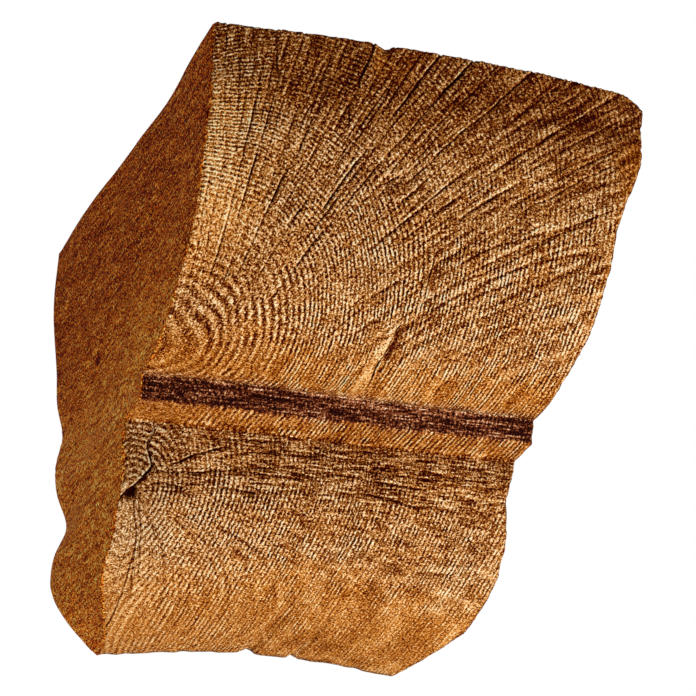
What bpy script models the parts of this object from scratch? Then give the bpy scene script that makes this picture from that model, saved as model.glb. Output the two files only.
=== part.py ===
"""Double-ovolo corbel hewn from one timber block.

Metres, +Z up. The front (the carved end-grain face) looks along -Y, the flat
wall face lies in the plane Y = 0 and the flat bearing face is the top.
The origin is the centre of the wall face.

The body is a stack of horizontal slices. Every slice is a rectangle that
starts on the wall face and reaches forward as far as the carved profile does
at that height; named hewing deviations (flare, bow, hollow, wanes, notches)
are then laid over the slices.
"""
import math

import bpy

# ---------------------------------------------------------------- sizes (m)
WIDTH = 0.200            # across the front
HEIGHT = 0.2185          # bearing face to toe
TOP = HEIGHT / 2.0       # height of the bearing face above the origin
LIP_H = 0.018            # upright fillet under the front top edge
LIP_D = 0.262            # projection at the front top edge
LIP_BATTER = 0.003       # the lip leans back this much over its height

OVOLO_D = 0.097          # upper quarter round, projection
OVOLO_H = 0.109          # upper quarter round, height
OVOLO_POWER = 1.87       # a little flatter than an ellipse

BAND_H = 0.011           # upright band between the two rounds
BAND_BATTER = 0.004      # the band leans back this much
LEDGE_D = 0.021          # downward-facing ledge under the band
LEDGE_DROP = 0.002       # the ledge falls this much towards the wall

BELLY_D = 0.137          # lower quarter round, projection
BELLY_H = 0.0785         # lower quarter round, height
TOE_D = 0.004            # blunt toe left at the wall

# ------------------------------------------------------- hewing deviations
FLARE = 0.0110           # the right side stands out at the top front corner
FLARE_TOP = -0.026       # full above this height under the bearing face
FLARE_END = -0.066       # gone below this one
BOW = 0.0080             # the front top edge bows forward in the middle
BOW_END = -0.072         # gone below this height
HOLLOW = 0.0065          # the lower edge is hollow in the middle
HOLLOW_START = -0.168    # the hollow fades in below this height
LEFT_WANE = 0.025        # lower left corner, worn away inwards
LEFT_WANE_START = -0.183
LEFT_WANE_DROP = 0.006   # it starts this much lower at the front
LEFT_WANE_H = 0.036
LEFT_WANE_POWER = 1.70
RIGHT_WANE = 0.013       # lower right corner, worn away inwards
RIGHT_WANE_START = -0.209
RIGHT_WANE_H = 0.0095
RIGHT_WANE_POWER = 1.10
# rear left edge: height, half width, depth of each hewn notch or swelling
EDGE_NOTCHES = ((-0.153, 0.0125, 0.0065),
                (-0.104, 0.0120, 0.0040),
                (-0.030, 0.0450, -0.0032))
NOTCH_REACH = 0.045      # how far forward the notches die out
# right side over its whole depth: height, half width, depth of each hollow
SIDE_HOLLOWS = ((-0.124, 0.0180, 0.0036),
                (-0.158, 0.0150, 0.0050),
                (-0.194, 0.0120, -0.0014))
# upper left edge: distance from the wall, half width, depth of each dip
RIM_DIPS = ((0.192, 0.034, 0.0024),
            (0.050, 0.045, -0.0020))
RIM_REACH = 0.050        # how far down the dips die out
WAVE = 0.0005            # slow hand-hewn waviness of the free faces

# -------------------------------------------------------------- divisions
COLUMNS = 22             # across the width
DEPTHS = 8               # from the wall face forward
LIP_STEPS = 2
OVOLO_STEPS = 13
BAND_STEPS = 2
LEDGE_STEPS = 1
BELLY_STEPS = 16


def clamp01(v):
    return max(0.0, min(1.0, v))


def smooth(edge0, edge1, v):
    t = clamp01((v - edge0) / (edge1 - edge0))
    return t * t * (3.0 - 2.0 * t)


def bell(v, centre, half):
    return math.exp(-((v - centre) / half) ** 2)


def profile():
    """Stations from the front top edge to the toe as (projection, height)."""
    rows = []
    for i in range(LIP_STEPS):
        t = i / LIP_STEPS
        rows.append((LIP_D - LIP_BATTER * t, -LIP_H * t))
    root = LIP_D - LIP_BATTER - OVOLO_D
    k = 2.0 / OVOLO_POWER
    for i in range(OVOLO_STEPS + 1):
        a = 0.5 * math.pi * i / OVOLO_STEPS
        rows.append((root + OVOLO_D * max(0.0, math.cos(a)) ** k,
                     -LIP_H - OVOLO_H * math.sin(a) ** k))
    d, z = rows[-1]
    for i in range(1, BAND_STEPS + 1):
        t = i / BAND_STEPS
        rows.append((d - BAND_BATTER * t, z - BAND_H * t))
    d, z = rows[-1]
    for i in range(1, LEDGE_STEPS + 1):
        t = i / LEDGE_STEPS
        rows.append((d - LEDGE_D * t, z - LEDGE_DROP * t))
    d, z = rows[-1]
    last = math.acos(TOE_D / BELLY_D)
    for i in range(1, BELLY_STEPS + 1):
        a = last * i / BELLY_STEPS
        rows.append((BELLY_D * math.cos(a), z - BELLY_H * math.sin(a)))
    return rows


def hewn(u, d, z):
    """Place the point at width fraction u, projection d and height z."""
    side = u * WIDTH
    left, right = (1.0 - u), u
    # right side flare at the top
    side += FLARE * right ** 2 * smooth(FLARE_END, FLARE_TOP, z) * (0.35 + 0.65 * d / LIP_D)
    # worn lower corners
    start = LEFT_WANE_START - LEFT_WANE_DROP * smooth(0.0, 0.09, d)
    if z < start:
        t = (start - z) / LEFT_WANE_H
        side += LEFT_WANE * t ** LEFT_WANE_POWER * left
    if z < RIGHT_WANE_START:
        t = (RIGHT_WANE_START - z) / RIGHT_WANE_H
        side -= RIGHT_WANE * t ** RIGHT_WANE_POWER * right
    # notches of the rear left edge
    for centre, half, depth in EDGE_NOTCHES:
        side += depth * bell(z, centre, half) * math.exp(-d / NOTCH_REACH) * left ** 3
    for centre, half, depth in SIDE_HOLLOWS:
        side -= depth * bell(z, centre, half) * right ** 3
    for centre, half, depth in RIM_DIPS:
        side += depth * bell(d, centre, half) * math.exp(z / RIM_REACH) * left ** 3
    # bowed top edge and hollow lower edge
    free = clamp01(d / 0.05)
    d += BOW * math.sin(math.pi * u) ** 0.9 * smooth(BOW_END, 0.0, z) * (d / LIP_D) ** 2
    rise = HOLLOW * math.sin(math.pi * u)
    z += rise * (1.0 - smooth(-HEIGHT, HOLLOW_START, z))
    # slow waviness, none on the wall face or the bearing face
    d += WAVE * free * math.sin(61.0 * z + 47.0 * side + 0.6)
    side += WAVE * (left - right) * math.sin(83.0 * z - 39.0 * d + 1.1)
    return (side - WIDTH / 2.0, -d, TOP + z)


def build_mesh(name):
    rows = profile()
    verts = []
    faces = []

    def loop(d, z):
        """Slice outline: back left, front left, front right, back right."""
        pts = [(0.0, d * j / DEPTHS) for j in range(DEPTHS)]
        pts += [(i / COLUMNS, d) for i in range(COLUMNS)]
        pts += [(1.0, d * (1.0 - j / DEPTHS)) for j in range(DEPTHS)]
        pts += [(1.0 - i / COLUMNS, 0.0) for i in range(COLUMNS)]
        return [hewn(u, dd, z) for u, dd in pts]

    for d, z in rows:
        verts += loop(d, z)
    n = 2 * (DEPTHS + COLUMNS)
    for k in range(len(rows) - 1):
        for i in range(n):
            a, b = k * n + i, k * n + (i + 1) % n
            faces.append((a, a + n, b + n, b))

    def cap(base, d, z, up):
        """Fill one end slice with a grid that shares the outline's points."""
        index = {}
        for j in range(DEPTHS + 1):
            for i in range(COLUMNS + 1):
                if i == 0:
                    index[i, j] = base + j
                elif j == DEPTHS:
                    index[i, j] = base + DEPTHS + i
                elif i == COLUMNS:
                    index[i, j] = base + DEPTHS + COLUMNS + (DEPTHS - j)
                elif j == 0:
                    index[i, j] = base + 2 * DEPTHS + COLUMNS + (COLUMNS - i)
                else:
                    index[i, j] = len(verts)
                    verts.append(hewn(i / COLUMNS, d * j / DEPTHS, z))
        for j in range(DEPTHS):
            for i in range(COLUMNS):
                quad = (index[i, j], index[i, j + 1], index[i + 1, j + 1], index[i + 1, j])
                faces.append(quad if up else quad[::-1])

    cap(0, rows[0][0], rows[0][1], True)
    cap((len(rows) - 1) * n, rows[-1][0], rows[-1][1], False)

    mesh = bpy.data.meshes.new(name)
    mesh.from_pydata(verts, [], faces)
    mesh.validate()
    mesh.update()
    return mesh


def wood_material():
    mat = bpy.data.materials.new("hewn_timber")
    mat.use_nodes = True
    shader = mat.node_tree.nodes["Principled BSDF"]
    shader.inputs["Base Color"].default_value = (0.33, 0.17, 0.065, 1.0)
    shader.inputs["Roughness"].default_value = 0.72
    shader.inputs["Metallic"].default_value = 0.0
    return mat


def main():
    for obj in list(bpy.data.objects):
        bpy.data.objects.remove(obj, do_unlink=True)
    mesh = build_mesh("corbel")
    obj = bpy.data.objects.new("corbel", mesh)
    bpy.context.scene.collection.objects.link(obj)
    mesh.materials.append(wood_material())


main()
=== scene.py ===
"""Looks of the hewn timber corbel: one replacement mesh for the solid, with the
log's growth rings, radial checks, splits and chips in its surface, one
procedural wood material, a plain studio and the camera.
"""

import math

import bpy
import numpy as np
from mathutils import Matrix, Vector
from mathutils.geometry import delaunay_2d_cdt


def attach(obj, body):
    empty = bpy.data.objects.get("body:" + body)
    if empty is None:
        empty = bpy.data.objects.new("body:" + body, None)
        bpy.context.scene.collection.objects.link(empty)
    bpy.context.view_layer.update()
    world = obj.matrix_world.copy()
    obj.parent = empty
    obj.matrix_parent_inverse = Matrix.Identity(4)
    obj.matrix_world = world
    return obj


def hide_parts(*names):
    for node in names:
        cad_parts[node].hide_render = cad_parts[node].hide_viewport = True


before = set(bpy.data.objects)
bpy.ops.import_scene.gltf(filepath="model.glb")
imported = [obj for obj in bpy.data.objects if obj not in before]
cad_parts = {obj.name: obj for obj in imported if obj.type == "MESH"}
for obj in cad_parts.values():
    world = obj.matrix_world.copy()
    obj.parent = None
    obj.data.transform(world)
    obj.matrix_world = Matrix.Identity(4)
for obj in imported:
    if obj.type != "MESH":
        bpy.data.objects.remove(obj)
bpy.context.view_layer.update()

MM = 0.001

# ---------------------------------------------------------------- sizes (mm)
# The same named sizes as the solid has.
WIDTH, HEIGHT = 200.0, 218.5
TOP = HEIGHT / 2.0
LIP_H, LIP_D, LIP_BATTER = 18.0, 262.0, 3.0
OVOLO_D, OVOLO_H, OVOLO_POWER = 97.0, 109.0, 1.87
BAND_H, BAND_BATTER = 11.0, 4.0
LEDGE_D, LEDGE_DROP = 21.0, 2.0
BELLY_D, BELLY_H, TOE_D = 137.0, 78.5, 4.0
FLARE, FLARE_TOP, FLARE_END = 11.0, -26.0, -66.0
BOW, BOW_END = 8.0, -72.0
HOLLOW, HOLLOW_START = 6.5, -168.0
LEFT_WANE, LEFT_WANE_START, LEFT_WANE_DROP = 25.0, -183.0, 6.0
LEFT_WANE_H, LEFT_WANE_POWER = 36.0, 1.70
RIGHT_WANE, RIGHT_WANE_START = 13.0, -209.0
RIGHT_WANE_H, RIGHT_WANE_POWER = 9.5, 1.10
EDGE_NOTCHES = ((-153.0, 12.5, 6.5), (-104.0, 12.0, 4.0), (-30.0, 45.0, -3.2))
NOTCH_REACH = 45.0
SIDE_HOLLOWS = ((-124.0, 18.0, 3.6), (-158.0, 15.0, 5.0), (-194.0, 12.0, -1.4))
RIM_DIPS = ((192.0, 34.0, 2.4), (50.0, 45.0, -2.0))
RIM_REACH = 50.0
WAVE = 0.5

Z_BAND = -(LIP_H + OVOLO_H)              # top of the band
Z_LEDGE = Z_BAND - BAND_H                # bottom of the band
Z_BELLY = Z_LEDGE - LEDGE_DROP           # top of the belly

# the log: heart of the radial checks, its lean along the depth
HEART_X, HEART_Z, HEART_AT = 6.5, -171.5, 125.0
HEART_LEAN = 0.24
# The rings grow off centre: centre height at the same depth, lean, drift of the
# centre across and up, radius where the drift is complete, centre across.
RINGS_UPPER = (-190.5, 0.349, 147.0, 152.5, 530.0, -2.9)
RINGS_BELLY = (-170.4, 0.235, -60.0, 85.0, 175.0, 8.6)
# ring width against radius on the two rounds
WIDTHS_UPPER = ((0, 2.0), (48, 1.65), (62, 1.7), (68, 1.6), (74, 1.15), (90, 1.0), (98, 1.1),
                (114, 1.2), (122, 1.12), (132, 1.22), (400, 1.2))
WIDTHS_BELLY = ((0, 2.4), (24, 2.75), (32, 2.95), (48, 3.2), (64, 3.5), (100, 3.5), (120, 3.3),
                (146, 3.5), (160, 3.15), (176, 3.6), (204, 3.5), (216, 3.1), (232, 2.3), (400, 2.1))
# centre and ring width of the small arches in the upper left corner of the belly
ARCH_X, ARCH_Z, ARCH_W = 6.0, -168.0, 2.7

GRID = 0.50                              # spacing of the carved face's grid
TARGET_TRIS = 186000


# ------------------------------------------------------------------ helpers
def smooth(a, b, v):
    t = np.clip((v - a) / (b - a), 0.0, 1.0)
    return t * t * (3.0 - 2.0 * t)


def bell(v, c, h):
    return np.exp(-((v - c) / h) ** 2)


def lattice(ix, iy, iz, seed):
    """Repeatable pseudo-random number in 0..1 for each lattice cell."""
    h = (ix.astype(np.int64) * 374761393 + iy.astype(np.int64) * 668265263
         + iz.astype(np.int64) * 1440662683 + seed * 974634777) & 0xFFFFFFFF
    h = ((h ^ (h >> 13)) * 1274126177) & 0xFFFFFFFF
    h = ((h ^ (h >> 16)) * 2246822519) & 0xFFFFFFFF
    return ((h ^ (h >> 15)) & 0xFFFFFF) / float(0xFFFFFF)


def noise(x, y, z, seed=0):
    """Value noise, -1..1."""
    x, y, z = np.broadcast_arrays(np.asarray(x, float), np.asarray(y, float), np.asarray(z, float))
    x0, y0, z0 = np.floor(x), np.floor(y), np.floor(z)
    fx, fy, fz = x - x0, y - y0, z - z0
    fx, fy, fz = (f * f * (3.0 - 2.0 * f) for f in (fx, fy, fz))
    out = 0.0
    for i in (0, 1):
        for j in (0, 1):
            for k in (0, 1):
                w = (fx if i else 1 - fx) * (fy if j else 1 - fy) * (fz if k else 1 - fz)
                out = out + w * lattice(x0 + i, y0 + j, z0 + k, seed)
    return 2.0 * out - 1.0


def fbm(x, y, z, seed=0, octaves=3):
    total, amp, norm = 0.0, 1.0, 0.0
    for o in range(octaves):
        total = total + amp * noise(x * 2 ** o, y * 2 ** o, z * 2 ** o, seed + 17 * o)
        norm += amp
        amp *= 0.5
    return total / norm


# ------------------------------------------------------------ carved profile
def profile():
    """Projection and height along the carved face, evenly spaced by GRID."""
    d, z = [], []
    t = np.linspace(0.0, 1.0, 60, endpoint=False)
    d.append(LIP_D - LIP_BATTER * t)
    z.append(-LIP_H * t)
    k = 2.0 / OVOLO_POWER
    a = np.linspace(0.0, math.pi / 2, 900)
    root = LIP_D - LIP_BATTER - OVOLO_D
    d.append(root + OVOLO_D * np.clip(np.cos(a), 0.0, 1.0) ** k)
    z.append(-LIP_H - OVOLO_H * np.sin(a) ** k)
    t = np.linspace(0.0, 1.0, 60)[1:]
    d.append(root - BAND_BATTER * t)
    z.append(Z_BAND - BAND_H * t)
    d.append(root - BAND_BATTER - LEDGE_D * t)
    z.append(Z_LEDGE - LEDGE_DROP * t)
    a = np.linspace(0.0, math.acos(TOE_D / BELLY_D), 900)[1:]
    d.append(BELLY_D * np.cos(a))
    z.append(Z_BELLY - BELLY_H * np.sin(a))
    d, z = np.concatenate(d), np.concatenate(z)
    s = np.concatenate([[0.0], np.cumsum(np.hypot(np.diff(d), np.diff(z)))])
    n = int(s[-1] / 0.1)
    q = np.linspace(0.0, s[-1], n + 1)
    d, z = np.interp(q, s, d), np.interp(q, s, z)
    # the carver's arrises are not razor sharp: smooth over about 0.8 mm
    w = np.exp(-0.5 * (np.arange(-24, 25) / 6.0) ** 2)
    w /= w.sum()
    dp = np.concatenate([2 * d[0] - d[24:0:-1], d, 2 * d[-1] - d[-2:-26:-1]])
    zp = np.concatenate([2 * z[0] - z[24:0:-1], z, 2 * z[-1] - z[-2:-26:-1]])
    d, z = np.convolve(dp, w, "valid"), np.convolve(zp, w, "valid")
    z = np.minimum.accumulate(z)
    s = np.concatenate([[0.0], np.cumsum(np.hypot(np.diff(d), np.diff(z)))])
    n = int(round(s[-1] / GRID))
    q = np.linspace(0.0, s[-1], n + 1)
    return np.interp(q, s, d), np.interp(q, s, z)


def hewn(u, d, z):
    """The solid's own placing of width fraction, projection and height, in mm."""
    side = u * WIDTH
    left, right = 1.0 - u, u
    side = side + FLARE * np.abs(right) ** 2 * smooth(FLARE_END, FLARE_TOP, z) * (0.35 + 0.65 * d / LIP_D)
    start = LEFT_WANE_START - LEFT_WANE_DROP * smooth(0.0, 90.0, d)
    t = np.clip(start - z, 0.0, None) / LEFT_WANE_H
    side = side + LEFT_WANE * t ** LEFT_WANE_POWER * left
    t = np.clip(RIGHT_WANE_START - z, 0.0, None) / RIGHT_WANE_H
    side = side - RIGHT_WANE * t ** RIGHT_WANE_POWER * right
    for c, h, depth in EDGE_NOTCHES:
        side = side + depth * bell(z, c, h) * np.exp(-d / NOTCH_REACH) * left ** 3
    for c, h, depth in SIDE_HOLLOWS:
        side = side - depth * bell(z, c, h) * right ** 3
    for c, h, depth in RIM_DIPS:
        side = side + depth * bell(d, c, h) * np.exp(z / RIM_REACH) * left ** 3
    free = np.clip(d / 50.0, 0.0, 1.0)
    arch = np.clip(np.sin(math.pi * np.clip(u, 0.0, 1.0)), 0.0, 1.0)
    d2 = d + BOW * arch ** 0.9 * smooth(BOW_END, 0.0, z) * (d / LIP_D) ** 2
    z2 = z + HOLLOW * arch * (1.0 - smooth(-HEIGHT, HOLLOW_START, z))
    d2 = d2 + WAVE * free * np.sin(0.061 * z2 + 0.047 * side + 0.6)
    side = side + WAVE * (left - right) * np.sin(0.083 * z2 - 0.039 * d2 + 1.1)
    return side, d2, z2


# ------------------------------------------------------------- the log
def ring_radius(x, d, z, form):
    height, lean, drift_x, drift_z, full, across = form
    hz = height + lean * (d - HEART_AT)
    t = smooth(0.0, full, np.hypot(x - across, z - hz))
    px, pz = x - across - drift_x * t, z - hz - drift_z * t
    r = np.hypot(px, pz)
    a = np.arctan2(pz, px)
    return r + smooth(4.0, 30.0, r) * (0.35 * np.sin(5.0 * a + 0.4) + 0.25 * np.sin(13.0 * a - r / 13.0)
                                       + 0.5 * noise(x / 19.0, z / 19.0, d / 40.0, 9)
                                       + 0.25 * noise(x / 6.0, z / 6.0, d / 30.0, 10))


def ring_count(r, widths):
    grid = np.arange(0.0, 401.0, 0.5)
    w = np.interp(grid, [p[0] for p in widths], [p[1] for p in widths])
    w = w * (1.0 + 0.09 * np.sin(grid / 2.9) + 0.08 * np.sin(grid / 7.3 + 1.0))
    total = np.concatenate([[0.0], np.cumsum(0.25 * (1.0 / w[1:] + 1.0 / w[:-1]))])
    return np.interp(r, grid, total)


def ring_phase(x, d, z, wall):
    """How many rings lie between the heart and each point."""
    upper = ring_count(ring_radius(x, d, z, RINGS_UPPER), WIDTHS_UPPER)
    belly = ring_count(ring_radius(x, d, z, RINGS_BELLY), WIDTHS_BELLY)
    near = np.hypot(x - ARCH_X, z - ARCH_Z)
    split_z = np.array([p[1] for p in SPLIT] + [Z_LEDGE])
    split_x = np.array([p[0] for p in SPLIT] + [14.0])
    arch = smooth(0.6, -0.6, x - np.interp(z, split_z, split_x)) * (z > SPLIT[0][1])
    belly = belly * (1.0 - arch) + arch * (near / ARCH_W + 2.0)
    return np.where((z > Z_BAND) | wall, upper, belly)


def ray_angle(x, d, z):
    hz = HEART_Z + HEART_LEAN * (d - HEART_AT)
    return np.degrees(np.arctan2(z - hz, x - HEART_X)), np.hypot(x - HEART_X, z - hz)


# The split that cuts off the upper left corner of the belly.
SPLIT = ((-2.0, -176.8), (1.0, -174.8), (3.2, -172.6), (5.8, -170.6), (8.2, -168.2), (10.5, -165.6),
         (12.4, -162.9), (14.0, -160.4), (12.6, -156.2), (11.8, -153.2), (12.1, -149.8), (13.0, -146.8))

# Radial checks on the upper round: angle at the heart in degrees, start and
# end radius in mm, strength 0..1.
UPPER_CHECKS = (
    (94.3, 62, 92, .5), (92.3, 48, 80, .45), (90.1, 100, 150, .4), (88.4, 46, 92, .5),
    (85.2, 60, 165, .3), (82.5, 40, 120, .7), (80.4, 95, 168, .35), (78.7, 52, 136, .75),
    (76.1, 76, 172, .45), (74.5, 44, 74, .55), (72.3, 72, 116, .4), (70.1, 92, 150, .4),
    (69.3, 46, 90, .95), (68.2, 88, 150, .5), (66.1, 80, 104, .35), (64.7, 72, 108, .35),
    (63.7, 54, 90, .55), (62.7, 112, 130, .6), (60.9, 150, 196, .5), (59.9, 58, 90, .7),
    (58.3, 92, 150, .5), (56.7, 122, 200, .45), (54.4, 84, 204, 1.0), (53.0, 78, 110, .7),
    (51.6, 88, 112, .4), (50.2, 56, 214, 1.0), (47.7, 72, 92, .5), (47.1, 130, 222, .6),
    (45.7, 100, 150, .5), (43.5, 120, 232, .75), (42.4, 180, 240, .4), (41.5, 108, 130, .5),
    (40.9, 64, 100, .5), (40.2, 180, 246, .6), (38.3, 100, 152, .9), (38.2, 170, 246, .5),
    (35.7, 112, 240, .65), (34.1, 100, 120, .55), (34.6, 124, 160, .4), (33.2, 170, 232, .4),
    (32.5, 132, 170, .65), (31.6, 176, 226, .4), (29.6, 86, 108, .75), (30.3, 160, 222, .5),
    (28.2, 122, 150, .7), (28.9, 164, 218, .55), (27.2, 100, 116, .55), (26.2, 126, 176, .5),
    (25.6, 90, 106, .6), (24.3, 122, 206, .55), (22.4, 112, 190, .6), (20.3, 130, 186, .35),
    (18.2, 60, 92, .3),
)
# The same on the belly.
BELLY_CHECKS = (
    (-4.9, 150, 185, .35), (-9.5, 40, 80, .3), (-17.1, 20, 40, .4), (-33.0, 8, 40, .35),
    (-64.0, 10, 44, .5), (-78.0, 8, 34, .4), (3.0, 168, 190, .35), (-14.0, 90, 130, .3),
)
# Single cracks that wander: strength, then points across and up in mm.
CRACKS = (
    (1.3, SPLIT),
    (.60, ((16.0, -162.6), (26.5, -161.8), (37.0, -161.0), (46.0, -159.3), (55.2, -158.8), (64.2, -159.2),
           (73.0, -159.0), (87.2, -160.0), (101.5, -160.6))),
    (.75, ((21.2, -159.8), (27.2, -157.0), (33.5, -153.5), (41.5, -150.8), (46.2, -149.4), (52.5, -147.0))),
    (.65, ((54.8, -151.2), (67.0, -149.3), (81.0, -149.0), (93.8, -149.6))),
    (.65, ((52.5, -157.4), (66.2, -156.5), (74.0, -156.4), (87.0, -157.5), (95.2, -158.8))),
    (.60, ((13.2, -168.0), (18.0, -167.2), (22.8, -167.2), (30.5, -168.1))),
    (.45, ((11.5, -170.8), (17.2, -170.4), (26.2, -169.8), (34.0, -170.3))),
    (.65, ((118.2, -152.8), (134.5, -153.2), (145.5, -153.4), (156.0, -153.9))),
    (.80, ((148.5, -149.6), (155.8, -150.5), (166.5, -152.2))),
    (.60, ((123.8, -157.2), (132.5, -157.7), (141.2, -157.8), (152.2, -158.6))),
    (.60, ((115.2, -163.0), (126.0, -163.8), (135.2, -164.5), (140.8, -165.8), (152.0, -166.9))),
    (.50, ((110.5, -151.8), (124.0, -150.6), (137.8, -149.9))),
    (.70, ((45.5, -166.8), (53.2, -166.3), (60.8, -167.1), (67.2, -168.2))),
    (.58, ((7.5, -172.4), (9.5, -180.2), (12.8, -188.8), (16.8, -198.2), (22.2, -206.8))),
    (.50, ((10.0, -173.8), (12.0, -180.0), (15.8, -190.2), (21.8, -201.0))),
    (1.0, ((72.6, 1.0), (72.2, -3.8), (70.2, -9.5), (67.2, -16.2), (66.6, -19.5), (66.0, -22.0))),
    (.80, ((113.8, -82.5), (113.4, -86.0), (113.0, -91.0), (112.8, -95.0), (112.8, -98.5), (114.0, -101.5))),
    (1.1, ((106.0, -108.5), (105.0, -112.0), (104.8, -116.0), (103.8, -118.6), (103.0, -121.3), (104.2, -124.8))),
    (.80, ((83.2, -59.6), (87.5, -57.1), (91.0, -54.6))),
    (.50, ((72.5, -83.5), (73.0, -86.5), (75.0, -88.5))),
    (.60, ((62.4, -30.0), (63.2, -38.0))),
    (.50, ((80.6, -20.0), (79.6, -23.5))),
    (.45, ((11.0, -3.0), (12.5, -16.0), (13.0, -38.0))),
    (.42, ((70.0, -147.5), (89.2, -147.4), (110.5, -148.4), (132.0, -149.2), (152.2, -150.7), (172.5, -151.8))),
    (.45, ((70.5, -154.6), (86.8, -155.1), (103.0, -155.9), (118.0, -156.6))),
    (.40, ((138.5, -145.2), (155.2, -145.1), (175.8, -146.5), (189.5, -148.2))),
    (.40, ((85.8, -144.8), (112.0, -144.2), (138.5, -143.4))),
    (.45, ((37.8, -145.2), (52.5, -144.4), (65.8, -144.1), (79.8, -144.2))),
    (.50, ((27.6, 0.0), (28.0, -6.0), (29.4, -22.0))),
)


def families(x, d, z, upper):
    """Signed distance to the nearest check of three interleaved families, the
    strength there, and the relief that all of them cut."""
    a, r = ray_angle(x, d, z)
    wander = 0.55 * noise(r / 13.0, a / 9.0, 0.0, 5) + 0.22 * noise(r / 3.7, a / 4.0, 0.0, 6)
    off = np.full((4, len(x)), 3.0)
    near_off = np.full((4, len(x)), 3.0)
    power = np.zeros((4, len(x)))
    checks = [(c, upper) for c in sorted(UPPER_CHECKS)] + [(c, 1.0 - upper) for c in sorted(BELLY_CHECKS)]

    def note(k, pick, o, s):
        better = np.abs(o) < np.abs(near_off[k, pick])
        ids = np.flatnonzero(pick)[better]
        near_off[k, ids] = o[better]
        off[k, ids] = o[better]
        power[k, ids] = s[better]

    for i, ((ang, r0, r1, strength), where) in enumerate(checks):
        o = np.radians(a - ang) * r + wander
        pick = (np.abs(o) < 2.6) & (r > r0 - 9.0) & (r < r1 + 9.0) & (where > 0.01)
        along = smooth(r0 - 6.0, r0 + 8.0, r[pick]) * (1.0 - smooth(r1 - 10.0, r1 + 6.0, r[pick]))
        along = along * (0.72 + 0.5 * noise(r[pick] / 7.0, i * 3.7, 0.0, 7))
        note(i % 3, pick, o[pick], strength * along * where[pick])
    for strength, pts in CRACKS:
        p = np.array(pts)
        lo, hi = p.min(0) - 3.0, p.max(0) + 3.0
        box = (x > lo[0]) & (x < hi[0]) & (z > lo[1]) & (z < hi[1])
        if not box.any():
            continue
        qx = x[box] + 0.35 * noise(x[box] / 2.6, z[box] / 2.6, 0.0, 71)
        qz = z[box] + 0.35 * noise(x[box] / 2.6, z[box] / 2.6, 5.0, 72)
        seg = np.hypot(*(p[1:] - p[:-1]).T)
        start = np.concatenate([[0.0], np.cumsum(seg)])
        best = np.full(box.sum(), 9.0)
        sign = np.ones(box.sum())
        where = np.zeros(box.sum())
        for j in range(len(p) - 1):
            e = (p[j + 1] - p[j]) / seg[j]
            t = np.clip((qx - p[j, 0]) * e[0] + (qz - p[j, 1]) * e[1], 0.0, seg[j])
            ox, oz = qx - p[j, 0] - t * e[0], qz - p[j, 1] - t * e[1]
            dist = np.hypot(ox, oz)
            closer = dist < best
            best[closer] = dist[closer]
            sign[closer] = np.sign(e[0] * oz[closer] - e[1] * ox[closer])
            where[closer] = (start[j] + t[closer]) / start[-1]
        ends = smooth(-0.02, 0.12, where) * (1.0 - smooth(0.86, 1.02, where))
        uneven = 0.85 + 0.4 * noise(qx / 6.0, qz / 6.0, 9.0, 73)
        note(3, box, best * sign, strength * uneven * (0.35 + 0.65 * ends) * (best < 2.6))
    fade = 1.0 - smooth(1.3, 2.5, np.abs(off))
    power = np.clip(power, 0.0, 1.4) * fade
    power[:3] *= 1.0 - 0.25 * smooth(-60.0, -95.0, z) * upper
    half = 0.30 + 0.14 * power
    cut = (power * np.exp(-(np.abs(off) / half) ** 1.7)).max(0)
    lip = (power * np.exp(-((off - 0.95) / 0.55) ** 2)).max(0)
    return off, power, cut, lip


# Local damage on the front: centre x, z, half sizes across and along, turn in
# degrees, height (negative sinks).
SCARS = (
    (111.8, -86.0, 0.9, 5.5, 2.0, 1.1),        # upright torn ridge
    (111.9, -96.0, 1.0, 4.6, 0.0, 1.2),
    (114.9, -90.0, 1.7, 8.5, 2.0, -1.3),       # and the hollow beside it
    (102.8, -110.5, 2.2, 3.6, -8.0, 1.1),      # torn lump over the band
    (101.6, -116.0, 2.5, 3.8, -8.0, 1.3),
    (100.0, -122.0, 2.6, 3.6, -8.0, 1.2),
    (106.3, -115.5, 1.7, 7.4, -5.0, -2.3),     # split beside it
    (84.8, -55.2, 6.0, 1.5, 22.0, 0.8),        # chip in the middle
    (88.5, -58.0, 4.5, 1.7, 22.0, -1.0),
    (93.2, -56.0, 2.6, 2.6, 0.0, -0.7),
    (110.2, -60.0, 7.0, 1.4, 20.0, 0.6),       # raised slivers
    (76.0, -7.0, 3.2, 8.0, -12.0, -0.8),       # smooth torn facet at the top edge
    (92.4, -99.5, 4.5, 2.0, 25.0, -0.5),       # small flaked hollow
    (6.2, -171.8, 2.9, 2.1, 30.0, -4.2),       # the heart has fallen out
    (2.2, -169.4, 2.2, 1.6, 35.0, 1.6),
    (64.0, -167.8, 2.2, 1.3, 10.0, -1.2),      # dark pits in the belly
    (50.0, -166.6, 3.4, 0.9, 0.0, -0.8),
    (130.0, -83.0, 2.0, 1.2, 0.0, -0.5),
    (190.0, -20.0, 9.0, 5.0, 30.0, -0.5),
)


def scars(x, z):
    h = np.zeros_like(x)
    for cx, cz, hx, hz, turn, height in SCARS:
        t = math.radians(turn)
        px, pz = x - cx, z - cz
        a = (px * math.cos(t) + pz * math.sin(t)) / hx
        b = (-px * math.sin(t) + pz * math.cos(t)) / hz
        ragged = 0.36 * noise(x / 1.7, z / 1.7, 0.0, 31) + 0.22 * noise(x / 0.9, z / 0.9, 0.0, 32)
        h = h + height * np.exp(-np.clip(np.hypot(a, b) + ragged, 0.0, None) ** 2.4)
    return h


BLOTCH = (81.5, -91.3)                  # a dark spot on the left side: depth and height

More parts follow.
